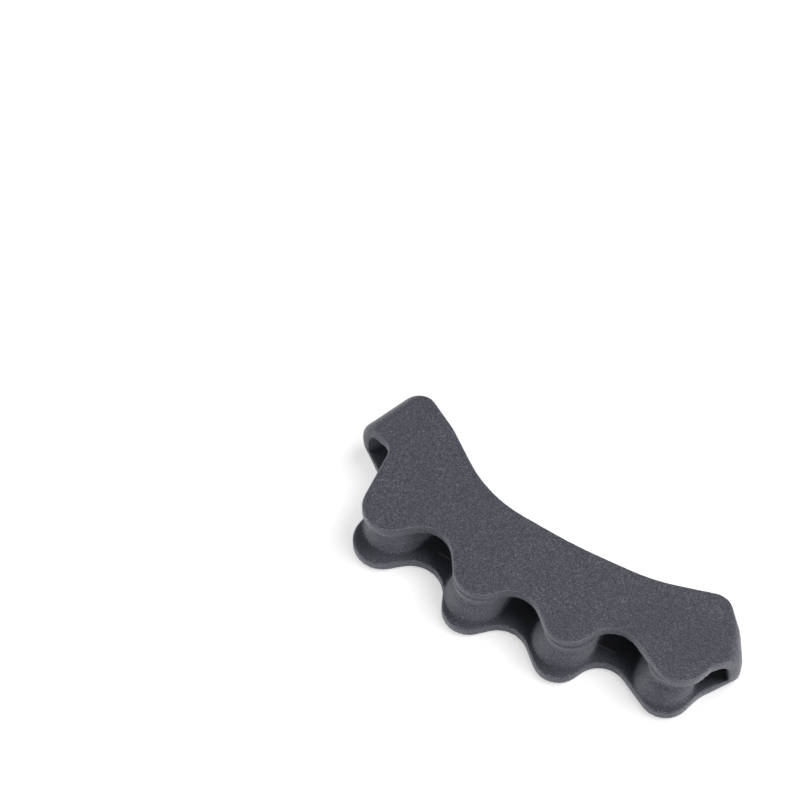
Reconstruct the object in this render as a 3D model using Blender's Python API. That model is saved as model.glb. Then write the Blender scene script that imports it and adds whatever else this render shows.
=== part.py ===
"""Toe separator: one soft moulding with five toe channels, two end loops and four posts.

The plan is drawn in mm from the big-toe end and the front, then centred on the origin.
The front is the lobed edge, toward -Y. The big-toe end is toward -X.
"""

import math

import bmesh
import bpy
from mathutils import Vector

MM = 0.001

# Overall heights, in mm.
HEIGHT = 13.0
WALL = 2.8

# Lobes of the top wall's front edge: centre x, centre y, radius.
LOBES = [(21.3, 11.5, 6.9), (48.1, 10.7, 6.7), (71.3, 12.8, 6.15), (96.4, 20.7, 6.8)]

# Mouths between the lobes and at the two end loops, hollow rounds of the same edge.
MOUTHS = [(8.9, 21.0, 3.2), (34.4, 5.5, 7.0), (60.3, 4.6, 6.8), (84.0, 11.2, 6.5), (106.3, 21.5, 2.8)]

# The same rounds for the ledge, where the bottom wall stands forward of the top wall.
LEDGE_LOBES = [(21.4, 7.9, 7.0), (48.0, 5.9, 6.3), (71.7, 8.3, 6.0), (96.0, 16.1, 6.2)]
LEDGE_MOUTHS = [(9.3, 15.9, 5.1), (34.7, 1.0, 7.6), (60.4, 0.5, 6.8), (84.2, 7.1, 6.4), (112.6, 17.1, 10.2)]

# Rounds of the big end and of the little end, from the front corner to the back corner.
BIG_FRONT = (3.0, 26.4, 1.5)
BIG_BACK = (7.7, 36.7, 3.4)
BIG_SHOULDER = (13.7, 23.6, 14.5)
LITTLE_FRONT = (105.2, 28.7, 2.2)
LITTLE_SIDE = (95.2, 27.4, 10.8)
LITTLE_BACK = (96.3, 34.0, 4.5)

# The three hollow sweeps of the back edge, from the little end.
BACK_SWEEPS = [(66.3, 77.2, 46.6), (45.8, 149.0, 120.9), (44.6, 60.9, 33.1)]

# Roll of each end towards the top and towards the foot: reach inwards, height.
BIG_ROLL = (4.5, 7.4)
BIG_FOOT = (2.0, 5.6)
LITTLE_ROLL = (3.6, 5.6)
LITTLE_FOOT = (1.6, 5.5)

# Small edge radii, how far the ledge's top falls to its rim, and the step up from it to the upper outline.
TOP_EDGE = 0.35
FOOT_EDGE = 0.35
RIM_EDGE = 0.25
LEDGE_FALL = 0.1
LEDGE_STEP = 0.1

# Inner faces of the end loops: front point, back point, and the ceiling's roll as reach and height.
BIG_INNER = ((4.4, 26.0), (7.3, 37.5), (2.4, 4.0))
LITTLE_INNER = ((105.6, 26.9), (96.7, 36.6), (3.2, 4.6))
LOOP_FLOOR = 1.0

# Posts between the walls: front round at the neck, front round at the foot, rear round.
POSTS = [
    ((21.9, 13.0, 6.6), (21.7, 12.6, 7.4), (25.7, 26.2, 4.8)),
    ((48.2, 10.6, 6.3), (47.4, 9.2, 7.0), (48.3, 21.4, 4.8)),
    ((71.7, 12.8, 5.8), (70.5, 12.4, 7.2), (69.8, 23.7, 4.6)),
    ((95.3, 20.2, 5.8), (94.4, 17.9, 6.7), (88.8, 28.7, 3.8)),
]
POST_FILLET = 0.8
POST_ROOT = 0.6
POST_FLARE = 3.5
POST_TAPER = 2.5

# How far the cutter of the channels stands past the front and the back.
CUT_PAST = 40.0

ARC_STEP = math.radians(13)
SWEEP_STEP = math.radians(2.4)
SHARP_FROM = math.radians(35)


def hollow(round_):
    """A round that cuts into the outline instead of bulging from it."""
    return (round_[0], round_[1], -round_[2])


def grown(round_, amount):
    return (round_[0], round_[1], round_[2] + amount)


def moved(round_, dx, dy):
    return (round_[0] + dx, round_[1] + dy, round_[2])


def belt_normals(rounds):
    """Outward normals of the tangent lines from each round to the next, counterclockwise."""
    normals = []
    for index, here in enumerate(rounds):
        there = rounds[(index + 1) % len(rounds)]
        along = Vector((there[0] - here[0], there[1] - here[1]))
        lean = (here[2] - there[2]) / along.length
        along.normalize()
        outward = Vector((along.y, -along.x))
        normals.append(along * lean + outward * math.sqrt(1 - lean * lean))
    return normals


def arc_turn(start, end, radius):
    """Angle from one normal to the next, which may pass half a turn on a bulging round."""
    turn = -start.angle_signed(end)
    if radius > 0 and turn < -math.pi / 2:
        turn += 2 * math.pi
    if radius < 0 and turn > math.pi / 2:
        turn -= 2 * math.pi
    return turn


def arc_steps(rounds):
    """How many straight steps each round of an outline is drawn with."""
    normals = belt_normals(rounds)
    steps = []
    for index, here in enumerate(rounds):
        turn = abs(arc_turn(normals[index - 1], normals[index], here[2]))
        step = SWEEP_STEP if abs(here[2]) > 20 else ARC_STEP
        steps.append(max(2, math.ceil(turn / step)))
    return steps


def belt(rounds, steps):
    """Closed outline that runs round every round in turn, like a belt over pulleys."""
    normals = belt_normals(rounds)
    outline = []
    for index, here in enumerate(rounds):
        start = normals[index - 1]
        first = math.atan2(start.y, start.x)
        turn = arc_turn(start, normals[index], here[2])
        for step in range(steps[index] + 1):
            angle = first + turn * step / steps[index]
            x = here[0] + here[2] * math.cos(angle)
            y = here[1] + here[2] * math.sin(angle)
            outline.append((x, y))
    return outline


def quarter(reach, share):
    """How far a quarter round of this reach has drawn in at a share of its height."""
    share = min(1.0, max(0.0, share))
    return reach * (1 - math.sqrt(1 - share * share))


def roll_in(height, roll):
    """How far the roll at the top draws an end wall in at this height."""
    return quarter(roll[0], 1 - (HEIGHT - height) / roll[1])


def foot_in(height, foot):
    """How far the roll at the foot draws an end wall in at this height."""
    return quarter(foot[0], 1 - height / foot[1])


# The big end rolls in along the front face, the little end square to its own wall.
# Towards the back the roll fades, so there its rounds move or shrink by a share of it.
BIG_IN = Vector((1.0, 0.0))
BIG_BACK_SHARE = 0.85
LITTLE_SIDE_SHARE = 0.5
LITTLE_WALL = Vector((LITTLE_BACK[0] - LITTLE_FRONT[0], LITTLE_BACK[1] - LITTLE_FRONT[1])).normalized()
LITTLE_IN = Vector((-LITTLE_WALL.y, LITTLE_WALL.x))
LITTLE_FOOT_IN = Vector((-0.6, 0.8))
CORNER_IN = Vector((-0.3, 0.12))


def sleeve_rounds(height, edge_in, ledge, rim_in=0.0):
    """Rounds of the sleeve's outline at a height, with or without the ledge.

    The edges draw in the whole outline, and the ledge's rim draws in only the front.
    """
    lobes = [grown(lobe, -rim_in) for lobe in (LEDGE_LOBES if ledge else LOBES)]
    mouths = [grown(hollow(mouth), -rim_in) for mouth in (LEDGE_MOUTHS if ledge else MOUTHS)]
    big = BIG_IN * (roll_in(height, BIG_ROLL) + foot_in(height, BIG_FOOT))
    little = roll_in(height, LITTLE_ROLL)
    corner = LITTLE_IN * little + LITTLE_FOOT_IN * foot_in(height, LITTLE_FOOT)
    rounds = [moved(BIG_FRONT, *big), mouths[0]]
    for lobe, mouth in zip(lobes, mouths[1:]):
        rounds += [lobe, mouth]
    rounds += [moved(LITTLE_FRONT, *corner), grown(LITTLE_SIDE, -little * LITTLE_SIDE_SHARE)]
    rounds.append(moved(LITTLE_BACK, *CORNER_IN * little))
    rounds += [hollow(sweep) for sweep in BACK_SWEEPS]
    rounds += [BIG_SHOULDER, moved(BIG_BACK, *big * BIG_BACK_SHARE)]
    return [grown(round_, -edge_in) for round_ in rounds]


def sleeve_rings():
    """Outlines of the solid sleeve, from the underside up, as (height, outline)."""
    rim = WALL - LEDGE_FALL
    levels = []
    for share in (0.0, 0.29, 1.0):
        levels.append((FOOT_EDGE * share, quarter(FOOT_EDGE, 1 - share), True, 0.0))
    for share in (1.0, 0.29, 0.0):
        levels.append((rim - RIM_EDGE * share, 0.0, True, quarter(RIM_EDGE, 1 - share)))
    foot = WALL + LEDGE_STEP
    for share in (0.0, 0.15, 0.3, 0.42, 0.54, 0.65, 0.75, 0.83, 0.9):
        levels.append((foot + (HEIGHT - foot) * share, 0.0, False, 0.0))
    for share in (0.0, 0.45, 0.8, 1.0):
        levels.append((HEIGHT - TOP_EDGE * (1 - share), quarter(TOP_EDGE, share), False, 0.0))
    steps = arc_steps(sleeve_rounds(FOOT_EDGE, 0, True))
    rings = []
    for height, edge_in, ledge, rim_in in levels:
        rings.append((height, belt(sleeve_rounds(height, edge_in, ledge, rim_in), steps)))
    return rings


def mesh_object(name, bm, hidden=False):
    bmesh.ops.remove_doubles(bm, verts=bm.verts, dist=1e-7)
    bmesh.ops.recalc_face_normals(bm, faces=bm.faces)
    mesh = bpy.data.meshes.new(name)
    bm.to_mesh(mesh)
    bm.free()
    mesh.shade_smooth()
    mesh.set_sharp_from_angle(angle=SHARP_FROM)
    made = bpy.data.objects.new(name, mesh)
    bpy.context.scene.collection.objects.link(made)
    if hidden:
        made.hide_render = True
        made.display_type = "WIRE"
    return made


def loft(bm, rings):
    """Closed skin through outlines of equal count, given as (height, outline)."""
    loops = []
    for height, outline in rings:
        loops.append([bm.verts.new(((x - MID_X) * MM, (y - MID_Y) * MM, height * MM)) for x, y in outline])
    count = len(loops[0])
    for lower, upper in zip(loops, loops[1:]):
        for index in range(count):
            after = (index + 1) % count
            bm.faces.new((lower[index], lower[after], upper[after], upper[index]))
    bm.faces.new(list(reversed(loops[0])))
    bm.faces.new(loops[-1])


def outline_middle():
    """Middle of the sleeve's outlines, which becomes the origin."""
    outlines = [point for height, outline in sleeve_rings() for point in outline]
    xs = [x for x, y in outlines]
    ys = [y for x, y in outlines]
    return (min(xs) + max(xs)) / 2, (min(ys) + max(ys)) / 2


def channel_void():
    """Everything between the two walls, from before the front to past the back, as one closed solid."""
    base = WALL
    top = HEIGHT - WALL
    drop = max(BIG_INNER[2][1], LITTLE_INNER[2][1])
    heights = [base + LOOP_FLOOR * share for share in (0.0, 0.12, 0.4, 1.0)]
    heights += [top - drop * (1 - share) for share in (0.2, 0.4, 0.57, 0.7, 0.8, 0.88, 0.94, 0.98, 1.0)]
    rings = []
    for height in heights:
        outline = []
        for (front, back, ceiling), side in ((BIG_INNER, 1), (LITTLE_INNER, -1)):
            inset = quarter(LOOP_FLOOR, 1 - (height - base) / LOOP_FLOOR)
            inset += quarter(ceiling[0], 1 - (top - height) / ceiling[1])
            lean = (back[0] - front[0]) / (back[1] - front[1])
            ends = [(front[0] + lean * (y - front[1]) + side * inset, y) for y in (-CUT_PAST, 2 * MID_Y + CUT_PAST)]
            outline += ends if side < 0 else ends[::-1]
        rings.append((height, outline))
    return rings


def between(low, high, share):
    return tuple(start + (end - start) * share for start, end in zip(low, high))


def post_rings(neck, foot, rear):
    """Outlines of one post from the bottom wall to the top wall, rooted a little in both."""
    low = WALL
    high = HEIGHT - WALL
    levels = [(low - POST_ROOT, 0.0, 0.3), (low, 0.0, 0.3), (low + 0.3, 0.03, 0.1), (low + 1.0, 0.15, 0.0)]
    levels += [(low + POST_FLARE, 0.6, 0.0), (high - POST_TAPER, 0.95, 0.0), (high - POST_FILLET, 1.0, 0.05)]
    levels += [(high - 0.3 * POST_FILLET, 1.0, 0.3 * POST_FILLET), (high, 1.0, POST_FILLET * 0.8)]
    levels.append((high + POST_ROOT, 1.0, POST_FILLET * 0.8))
    steps = arc_steps([neck, rear])
    rings = []
    for height, share, reach in levels:
        rings.append((height, belt([grown(between(foot, neck, share), reach), grown(rear, reach)], steps)))
    return rings


for old in list(bpy.data.objects):
    bpy.data.objects.remove(old, do_unlink=True)

MID_X, MID_Y = outline_middle()

sleeve = bmesh.new()
loft(sleeve, sleeve_rings())
separator = mesh_object("toe_separator", sleeve)

void = bmesh.new()
loft(void, channel_void())
channels = mesh_object("channel_void", void, hidden=True)

pillars = bmesh.new()
for neck_round, foot_round, rear_round in POSTS:
    loft(pillars, post_rings(neck_round, foot_round, rear_round))
posts = mesh_object("posts", pillars, hidden=True)

hollowing = separator.modifiers.new("hollow the sleeve", "BOOLEAN")
hollowing.operation = "DIFFERENCE"
hollowing.solver = "EXACT"
hollowing.object = channels

joining = separator.modifiers.new("join the posts", "BOOLEAN")
joining.operation = "UNION"
joining.solver = "EXACT"
joining.object = posts

rubber = bpy.data.materials.new("slate grey rubber")
rubber.use_nodes = True
shader = rubber.node_tree.nodes["Principled BSDF"]
shader.inputs["Base Color"].default_value = (0.08, 0.08, 0.09, 1.0)
shader.inputs["Roughness"].default_value = 0.6
shader.inputs["Metallic"].default_value = 0.0
separator.data.materials.append(rubber)
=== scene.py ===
import math

import bpy
import numpy as np
from mathutils import Matrix, Vector


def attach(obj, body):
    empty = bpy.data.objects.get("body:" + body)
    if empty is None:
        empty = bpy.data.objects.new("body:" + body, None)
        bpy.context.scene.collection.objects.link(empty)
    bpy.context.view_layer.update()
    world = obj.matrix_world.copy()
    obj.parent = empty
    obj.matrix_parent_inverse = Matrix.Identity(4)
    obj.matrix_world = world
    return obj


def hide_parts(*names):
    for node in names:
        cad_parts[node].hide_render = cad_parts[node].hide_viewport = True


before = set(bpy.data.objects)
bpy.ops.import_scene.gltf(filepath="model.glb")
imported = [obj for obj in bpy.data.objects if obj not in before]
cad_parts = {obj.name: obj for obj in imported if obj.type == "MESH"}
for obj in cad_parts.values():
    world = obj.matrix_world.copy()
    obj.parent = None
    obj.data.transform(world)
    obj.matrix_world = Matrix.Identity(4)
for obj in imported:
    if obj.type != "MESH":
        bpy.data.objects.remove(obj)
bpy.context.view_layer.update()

mm = 0.001

# a mix node's colour sockets go by number, because it has several sockets of one name
underSocket = 6
overSocket = 7
mixedSocket = 2


def linear(hexColour):
    # sRGB hex to the linear numbers a shader socket takes
    out = []
    for at in (1, 3, 5):
        c = int(hexColour[at:at + 2], 16) / 255
        out.append(c / 12.92 if c <= 0.04045 else ((c + 0.055) / 1.055) ** 2.4)
    return out + [1.0]


def addNode(tree, kind, links=None, **settings):
    # one node: settings by attribute or socket name, links as {input: output socket}
    node = tree.nodes.new(kind)
    for name, value in settings.items():
        if hasattr(node, name):
            setattr(node, name, value)
        else:
            node.inputs[name.replace("_", " ")].default_value = value
    for name, source in (links or {}).items():
        tree.links.new(source, node.inputs[name])
    return node


def addMaterial(name):
    # a material whose node tree is still empty
    material = bpy.data.materials.new(name)
    material.use_nodes = True
    material.node_tree.nodes.clear()
    return material


def addObject(name, data):
    # puts a mesh, a camera or a lamp into the scene
    thing = bpy.data.objects.new(name, data)
    bpy.context.scene.collection.objects.link(thing)
    return thing


def rowsOf(items, field, width, kind=float):
    # one field of all the points or edges of a mesh, a row for each
    rows = np.empty(len(items) * width, dtype=kind)
    items.foreach_get(field, rows)
    return rows.reshape(-1, width)


# the camera
print("camera")
view = {
    "lens": 152.88,                         # mm
    "sensor": 36,                           # mm, its width
    "near": 0.02,                           # m, nothing nearer is drawn
    "far": 20,                              # m, nor anything farther
    "pitch": 57.755,                        # degrees it looks down
    "heading": (-0.61291, 0.79016),         # level direction it looks along
    "place": (211.222, -320.3059, 686.43),  # mm
}
pitch = math.radians(view["pitch"])
ahead = Vector((*view["heading"], 0)).normalized()
aside = Vector((ahead.y, -ahead.x, 0))
forward = ahead * math.cos(pitch) - Vector((0, 0, math.sin(pitch)))
cameraData = bpy.data.cameras.new("camera")
cameraData.sensor_width = view["sensor"]
cameraData.lens = view["lens"]
cameraData.clip_start = view["near"]
cameraData.clip_end = view["far"]
camera = addObject("camera", cameraData)
axes = Matrix((aside, aside.cross(forward), -forward)).transposed()
camera.matrix_world = Matrix.Translation(Vector(view["place"]) * mm) @ axes.to_4x4()
bpy.context.scene.camera = camera

# the moulding
print("moulding")
moulding = {
    "weld": 0.01,               # mm, points of the solid nearer than this become one
    "cell": 0.3,                # mm, fineness of the skin
    "soften": 1,                # passes that round the moulded arrises
    "softenBy": 0.5,            # share of the way that a pass moves a point
    "keep": 0.5,                # share of the triangles that is kept
    "slate": "#4d4f58",         # the rubber's own colour
    "fleck": "#8a8c98",         # pale grains on the blasted skin
    "pit": "#2b2c32",           # dark pores between the grains
    "paintedHighlightColour": "#abaeb9",        # painted highlight: the arrises made pale where their edges catch the light
    "paintedHighlightFrom": 0.11,           # how far a point stands out where the painted highlight begins
    "paintedHighlightSpan": 0.12,           # how much farther out the painted highlight is full
    "grain": 0.28,              # mm, width of one grain
    "grainRise": 0.1,           # mm, height of one grain
    "fleckFrom": 0.52,          # grain noise where a fleck begins
    "fleckFull": (0.76, 0.92),  # where it is full, in a patch rich in flecks and in a bare one
    "pitFrom": 0.48,            # grain noise where a pore begins
    "pitFull": 0.28,            # where it is full
    "patch": 9,                 # mm, width of a patch with more or fewer flecks
    "roughness": (0.54, 0.68),  # from patch to patch
    "ior": 1.42,
    "sheen": 0.5,
    "sheenRoughness": 0.4,
}
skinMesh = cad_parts["toe_separator"].data.copy()
skinMesh.materials.clear()
skin = addObject("separatorSkin", skinMesh)
weld = skin.modifiers.new("weld", "WELD")
weld.merge_threshold = moulding["weld"] * mm
cells = skin.modifiers.new("fine cells", "REMESH")
cells.mode = "VOXEL"
cells.voxel_size = moulding["cell"] * mm
relax = skin.modifiers.new("round the arrises", "SMOOTH")
relax.factor = moulding["softenBy"]
relax.iterations = moulding["soften"]
thin = skin.modifiers.new("thin the flat parts", "DECIMATE")
thin.ratio = moulding["keep"]
bpy.context.view_layer.update()
fine = bpy.data.meshes.new_from_object(skin.evaluated_get(bpy.context.evaluated_depsgraph_get()))
fine.name = "separatorSkin"
skin.modifiers.clear()
skin.data = fine
fine.shade_smooth()

# how far each point stands out of its neighbours, which finds the arrises for the painted
# highlight
points = rowsOf(fine.vertices, "co", 3)
outward = rowsOf(fine.vertices, "normal", 3)
ends = rowsOf(fine.edges, "vertices", 2, np.int32)
lengths = np.linalg.norm(points[ends[:, 0]] - points[ends[:, 1]], axis=1)
count = np.bincount(ends.ravel(), minlength=len(points))
around = np.zeros_like(points)
reach = np.zeros(len(points))
for here, there in ((ends[:, 0], ends[:, 1]), (ends[:, 1], ends[:, 0])):
    np.add.at(around, here, points[there])
    np.add.at(reach, here, lengths)
apart = points - around / count[:, None]
standing = (apart * outward).sum(axis=1) / (reach / count)
# the painted highlight's strength at each point, from none to full
paintedHighlight = np.clip((standing - moulding["paintedHighlightFrom"]) / moulding["paintedHighlightSpan"], 0, 1)
fine.attributes.new("paintedHighlight", "FLOAT", "POINT").data.foreach_set("value", paintedHighlight)
print("skin", len(fine.polygons), "faces")

# Silicone rubber pressed in a bead-blasted mould: dead matt, with an even grain of pale
# flecks and dark pores, a soft pale sheen where it turns away, and a painted highlight on the
# arrises.
rubber = addMaterial("silicone rubber from a blasted mould")
tree = rubber.node_tree
place = addNode(tree, "ShaderNodeTexCoord").outputs["Object"]
grain = addNode(
    tree, "ShaderNodeTexNoise", {"Vector": place},
    Scale=1 / (moulding["grain"] * mm), Detail=2.0, Roughness=0.6,
).outputs["Fac"]
patches = addNode(
    tree, "ShaderNodeTexNoise", {"Vector": place},
    Scale=1 / (moulding["patch"] * mm), Detail=3.0, Roughness=0.55,
).outputs["Fac"]
fleckFull = addNode(
    tree, "ShaderNodeMapRange", {"Value": patches},
    From_Min=0.35, From_Max=0.65,
    To_Min=moulding["fleckFull"][0], To_Max=moulding["fleckFull"][1],
).outputs["Result"]
flecks = addNode(
    tree, "ShaderNodeMapRange", {"Value": grain, "From Max": fleckFull},
    From_Min=moulding["fleckFrom"],
).outputs["Result"]
pores = addNode(
    tree, "ShaderNodeMapRange", {"Value": grain},
    From_Min=moulding["pitFrom"], From_Max=moulding["pitFull"],
).outputs["Result"]
# the painted highlight on the arrises, broken up by the grain
paintedHighlightShown = addNode(tree, "ShaderNodeAttribute", attribute_name="paintedHighlight").outputs["Fac"]
grainyPaintedHighlight = addNode(tree, "ShaderNodeMath", {0: paintedHighlightShown, 1: grain}, operation="MULTIPLY").outputs[0]
colour = None
for paint, share in (("fleck", flecks), ("pit", pores), ("paintedHighlightColour", grainyPaintedHighlight)):
    mix = addNode(tree, "ShaderNodeMix", {"Factor": share}, data_type="RGBA")
    if colour is None:
        mix.inputs[underSocket].default_value = linear(moulding["slate"])
    else:
        tree.links.new(colour, mix.inputs[underSocket])
    mix.inputs[overSocket].default_value = linear(moulding[paint])
    colour = mix.outputs[mixedSocket]
bump = addNode(
    tree, "ShaderNodeBump", {"Height": grain},
    Strength=0.4, Distance=moulding["grainRise"] * mm,
)
roughness = addNode(
    tree, "ShaderNodeMapRange", {"Value": patches},
    From_Min=0.3, From_Max=0.7,
    To_Min=moulding["roughness"][0], To_Max=moulding["roughness"][1],
).outputs["Result"]
shader = addNode(
    tree, "ShaderNodeBsdfPrincipled",
    {"Base Color": colour, "Roughness": roughness, "Normal": bump.outputs["Normal"]},
    IOR=moulding["ior"], Sheen_Weight=moulding["sheen"],
    Sheen_Roughness=moulding["sheenRoughness"],
)
addNode(tree, "ShaderNodeOutputMaterial", {"Surface": shader.outputs["BSDF"]})
fine.materials.append(rubber)
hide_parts("toe_separator")
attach(skin, "root")

# two hair-thin lines of flash on the channel floors, from the mould's inserts
print("flash lines")
flash = {
    "floor": 2.8,               # mm, height of the channel floors
    "rise": 0.05,               # mm above the floor
    "sink": 0.05,               # mm into it, so that no gap shows
    "width": 0.16,              # mm
    "lines": (                  # mm, both ends of each line
        ((-20.5, -6.9), (-17.1, -6.8)),
        ((22.9, -3.8), (27.3, -3.3)),
    ),
    "pale": "#b9bac4",          # where it is thinnest
    "ragged": 0.5,              # mm, width of one ragged spot
    "raggedRise": 0.05,         # mm, height of one
    "roughness": (0.4, 0.6),    # from spot to spot
}
corners = []
faces = []
boxSides = ((0, 3, 2, 1), (4, 5, 6, 7), (0, 1, 5, 4), (1, 2, 6, 5), (2, 3, 7, 6), (3, 0, 4, 7))
for start, end in flash["lines"]:
    run = Vector(end) - Vector(start)
    side = Vector((-run.y, run.x)).normalized() * flash["width"] / 2
    first = len(corners)
    for level in (flash["floor"] - flash["sink"], flash["floor"] + flash["rise"]):
        for spot, way in ((start, -side), (end, -side), (end, side), (start, side)):
            corners.append(((spot[0] + way.x) * mm, (spot[1] + way.y) * mm, level * mm))
    faces += [[first + corner for corner in face] for face in boxSides]
flashMesh = bpy.data.meshes.new("flashLines")
flashMesh.from_pydata(corners, [], faces)
flashLines = addObject("flashLines", flashMesh)

# Flash squeezed thin between the mould's parts: the same rubber, paler and a little rough.
thinRubber = addMaterial("thin pale flash of the rubber")
tree = thinRubber.node_tree
place = addNode(tree, "ShaderNodeTexCoord").outputs["Object"]
ragged = addNode(
    tree, "ShaderNodeTexNoise", {"Vector": place},
    Scale=1 / (flash["ragged"] * mm), Detail=2.0,
).outputs["Fac"]
tint = addNode(tree, "ShaderNodeMix", {"Factor": ragged}, data_type="RGBA")
tint.inputs[underSocket].default_value = linear(moulding["slate"])
tint.inputs[overSocket].default_value = linear(flash["pale"])
bump = addNode(
    tree, "ShaderNodeBump", {"Height": ragged},
    Strength=0.3, Distance=flash["raggedRise"] * mm,
)
roughness = addNode(
    tree, "ShaderNodeMapRange", {"Value": ragged},
    From_Min=0.3, From_Max=0.7,
    To_Min=flash["roughness"][0], To_Max=flash["roughness"][1],
).outputs["Result"]
shader = addNode(
    tree, "ShaderNodeBsdfPrincipled",
    {"Base Color": tint.outputs[mixedSocket], "Roughness": roughness,
     "Normal": bump.outputs["Normal"]},
    IOR=moulding["ior"],
)
addNode(tree, "ShaderNodeOutputMaterial", {"Surface": shader.outputs["BSDF"]})
flashMesh.materials.append(thinRubber)
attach(flashLines, "root")

# the floor
print("floor")
sheet = {
    "half": 4,           # m, from its middle to each side
    "drop": 0.03,        # mm under the moulding, so that the two faces stay apart
    "white": "#e6e6e8",
    "glow": 0.55,        # its own light, where 1 is white
}
half = sheet["half"]
floorMesh = bpy.data.meshes.new("paperFloor")
floorMesh.from_pydata(
    [(-half, -half, 0), (half, -half, 0), (half, half, 0), (-half, half, 0)],
    [], [(0, 1, 2, 3)],
)
floor = addObject("paperFloor", floorMesh)
floor.location.z = -sheet["drop"] * mm

# Uncoated paper pressed flat in the mill: dead matt and white, with the moulding's soft
# shadow and no shine. Its glow shows only to the camera and in mirroring or clear surfaces.
paper = addMaterial("white studio paper")
tree = paper.node_tree
lit = addNode(tree, "ShaderNodeBsdfDiffuse", Color=linear(sheet["white"]))
ray = addNode(tree, "ShaderNodeLightPath")
mirrored = addNode(
    tree, "ShaderNodeMath", {0: ray.outputs["Is Camera Ray"], 1: ray.outputs["Is Glossy Ray"]},
    operation="MAXIMUM",
)
seen = addNode(
    tree, "ShaderNodeMath", {0: mirrored.outputs[0], 1: ray.outputs["Is Transmission Ray"]},
    operation="MAXIMUM",
)
glow = addNode(
    tree, "ShaderNodeEmission", {"Strength": seen.outputs[0]},
    Color=(sheet["glow"], sheet["glow"], sheet["glow"], 1),
)
both = addNode(tree, "ShaderNodeAddShader", {0: lit.outputs[0], 1: glow.outputs[0]})
addNode(tree, "ShaderNodeOutputMaterial", {"Surface": both.outputs[0]})
floorMesh.materials.append(paper)

# the lamps and the world
print("lamps")
studio = {
    "away": 1.0,   # m from the moulding to each lamp
    "fill": 0.04,  # strength of the white world
    "lamps": {     # degrees round from straight ahead, degrees up, m wide, m high, watts
        "keySoftbox": (75, 60, 0.7, 0.6, 7.2),
        "backSoftbox": (-45, 30, 0.6, 0.6, 2.4),
        "leftStrip": (-90, 4.5, 0.7, 0.12, 5.4),
        "rightStrip": (90, 4.5, 0.7, 0.12, 2.8),
        "frontStrip": (160, 4.5, 0.9, 0.12, 4.4),
    },
}
for name, (turn, rise, width, height, watts) in studio["lamps"].items():
    level = ahead * math.cos(math.radians(turn)) + aside * math.sin(math.radians(turn))
    towards = level * math.cos(math.radians(rise)) + Vector((0, 0, math.sin(math.radians(rise))))
    lampData = bpy.data.lights.new(name, "AREA")
    lampData.shape = "RECTANGLE"
    lampData.size = width
    lampData.size_y = height
    lampData.energy = watts
    lamp = addObject(name, lampData)
    lamp.location = towards * studio["away"]
    lamp.rotation_euler = (-towards).to_track_quat("-Z", "Y").to_euler()
world = bpy.data.worlds.new("studio world")
bpy.context.scene.world = world
world.use_nodes = True
background = world.node_tree.nodes["Background"]
background.inputs["Color"].default_value = (1, 1, 1, 1)
background.inputs["Strength"].default_value = studio["fill"]

bpy.context.scene.view_settings.view_transform = "Standard"
bpy.context.view_layer.update()
